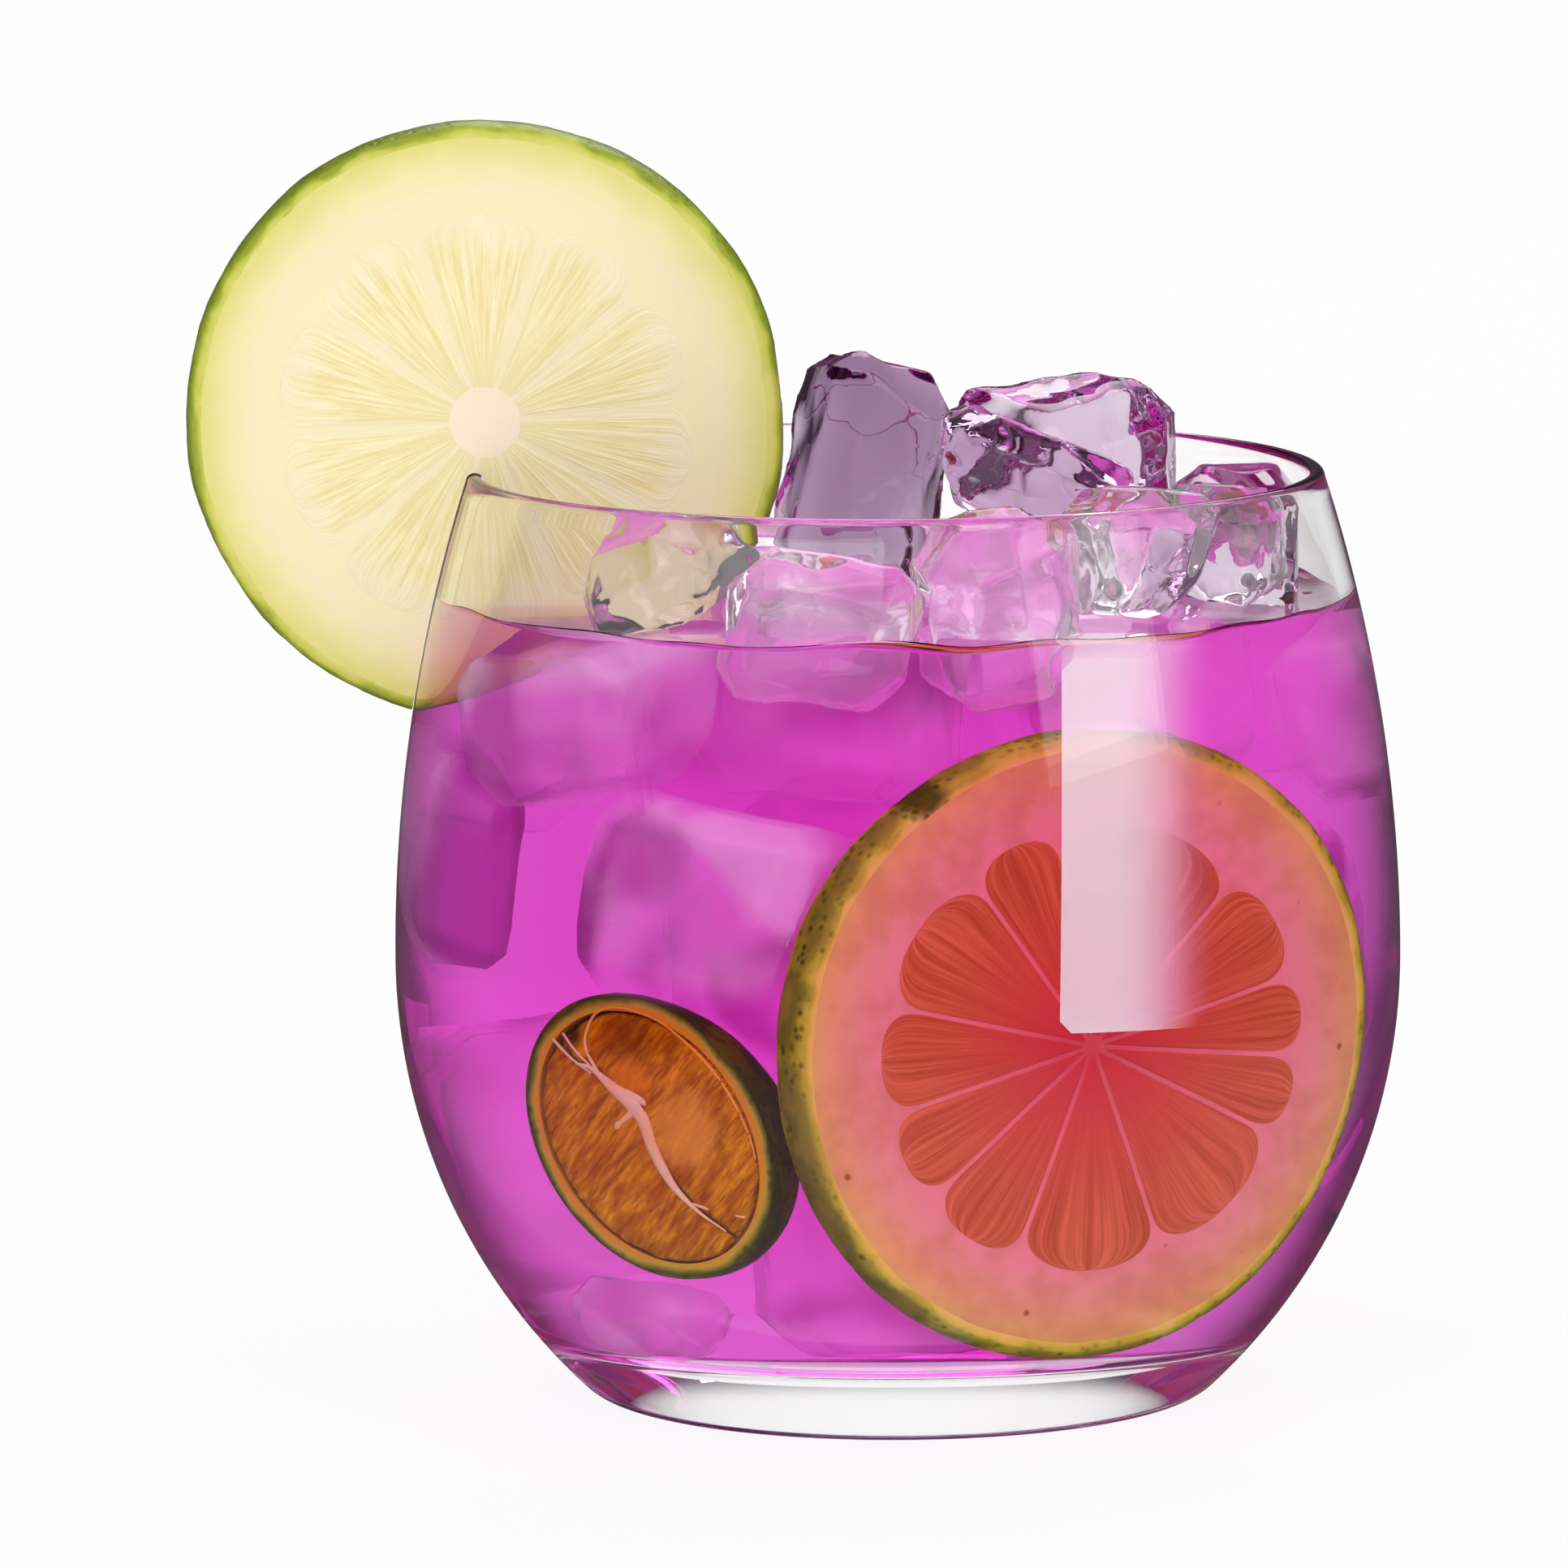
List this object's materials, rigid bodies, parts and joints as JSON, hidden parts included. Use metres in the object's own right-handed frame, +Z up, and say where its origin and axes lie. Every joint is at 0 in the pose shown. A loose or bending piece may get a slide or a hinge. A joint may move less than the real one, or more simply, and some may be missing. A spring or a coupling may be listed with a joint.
{
  "type": "mojito glass",
  "caption": "Rounded stemless tumbler filled with a magenta iced drink, a citrus wheel slotted on its rim, a second wheel and a halved small citrus sunk in the drink.",
  "frame": {"origin": "centre of the flat foot of the glass, on the surface it stands on", "axes": "+Z up along the axis of the glass, -Y towards the pictured side, -X towards the citrus wheel on the rim"},
  "size_m": [0.1085, 0.09, 0.1148],
  "materials": {
    "glass": "clear, polished",
    "drink": "clear magenta liquid",
    "ice": "clear, melting",
    "rim_peel": "waxy, pitted",
    "rim_pith": "soft, moist",
    "rim_pulp": "wet, translucent",
    "drink_wheel_peel": "waxy, pitted",
    "drink_wheel_pith": "soft, soaked",
    "drink_wheel_pulp": "wet, translucent",
    "half_peel": "waxy, pitted",
    "half_membrane": "soft, moist",
    "half_pulp": "wet, translucent"
  },
  "bodies": {
    "glass": {"glass": "glass", "drink": "drink", "ice_sunk_01": "ice", "ice_sunk_02": "ice", "ice_sunk_03": "ice", "ice_sunk_04": "ice", "ice_sunk_05": "ice", "ice_sunk_06": "ice", "ice_sunk_07": "ice", "ice_sunk_08": "ice", "ice_sunk_09": "ice", "ice_sunk_10": "ice", "ice_sunk_11": "ice", "ice_sunk_12": "ice", "ice_sunk_13": "ice", "ice_sunk_14": "ice", "ice_sunk_15": "ice", "ice_sunk_16": "ice", "ice_front_1": "ice", "ice_front_2": "ice", "ice_front_3": "ice", "ice_front_4": "ice", "ice_front_5": "ice", "drink_wheel_peel": "drink_wheel_peel", "drink_wheel_pith": "drink_wheel_pith", "drink_wheel_segment_01": "drink_wheel_pulp", "drink_wheel_segment_02": "drink_wheel_pulp", "drink_wheel_segment_03": "drink_wheel_pulp", "drink_wheel_segment_04": "drink_wheel_pulp", "drink_wheel_segment_05": "drink_wheel_pulp", "drink_wheel_segment_06": "drink_wheel_pulp", "drink_wheel_segment_07": "drink_wheel_pulp", "drink_wheel_segment_08": "drink_wheel_pulp", "drink_wheel_segment_09": "drink_wheel_pulp", "drink_wheel_segment_10": "drink_wheel_pulp", "drink_wheel_segment_11": "drink_wheel_pulp", "half_citrus_peel": "half_peel", "half_citrus_membrane": "half_membrane", "half_citrus_segment_1": "half_pulp", "half_citrus_segment_2": "half_pulp", "half_citrus_segment_3": "half_pulp", "half_citrus_segment_4": "half_pulp"},
    "rim_wheel": {"rim_wheel_peel": "rim_peel", "rim_wheel_pith": "rim_pith", "rim_wheel_segment_01": "rim_pulp", "rim_wheel_segment_02": "rim_pulp", "rim_wheel_segment_03": "rim_pulp", "rim_wheel_segment_04": "rim_pulp", "rim_wheel_segment_05": "rim_pulp", "rim_wheel_segment_06": "rim_pulp", "rim_wheel_segment_07": "rim_pulp", "rim_wheel_segment_08": "rim_pulp", "rim_wheel_segment_09": "rim_pulp", "rim_wheel_segment_10": "rim_pulp"},
    "ice_peak": {"ice_peak": "ice"},
    "ice_slab": {"ice_slab": "ice"},
    "ice_back": {"ice_back": "ice"},
    "ice_right": {"ice_right": "ice"},
    "ice_left": {"ice_left": "ice"}
  },
  "joints": [
    {"name": "garnish_lift", "type": "slide", "parent": "glass", "child": "rim_wheel", "axis": [0.2162, 0, 0.9764], "range_m": [0, 0.03]},
    {"name": "ice_peak_lift", "type": "slide", "parent": "glass", "child": "ice_peak", "axis": [0, 0, 1], "range_m": [0, 0.03]},
    {"name": "ice_slab_lift", "type": "slide", "parent": "glass", "child": "ice_slab", "axis": [0, 0, 1], "range_m": [0, 0.03]},
    {"name": "ice_back_lift", "type": "slide", "parent": "glass", "child": "ice_back", "axis": [0, 0, 1], "range_m": [0, 0.03]},
    {"name": "ice_right_lift", "type": "slide", "parent": "glass", "child": "ice_right", "axis": [0, 0, 1], "range_m": [0, 0.03]},
    {"name": "ice_left_lift", "type": "slide", "parent": "glass", "child": "ice_left", "axis": [0, 0, 1], "range_m": [0, 0.03]}
  ]
}
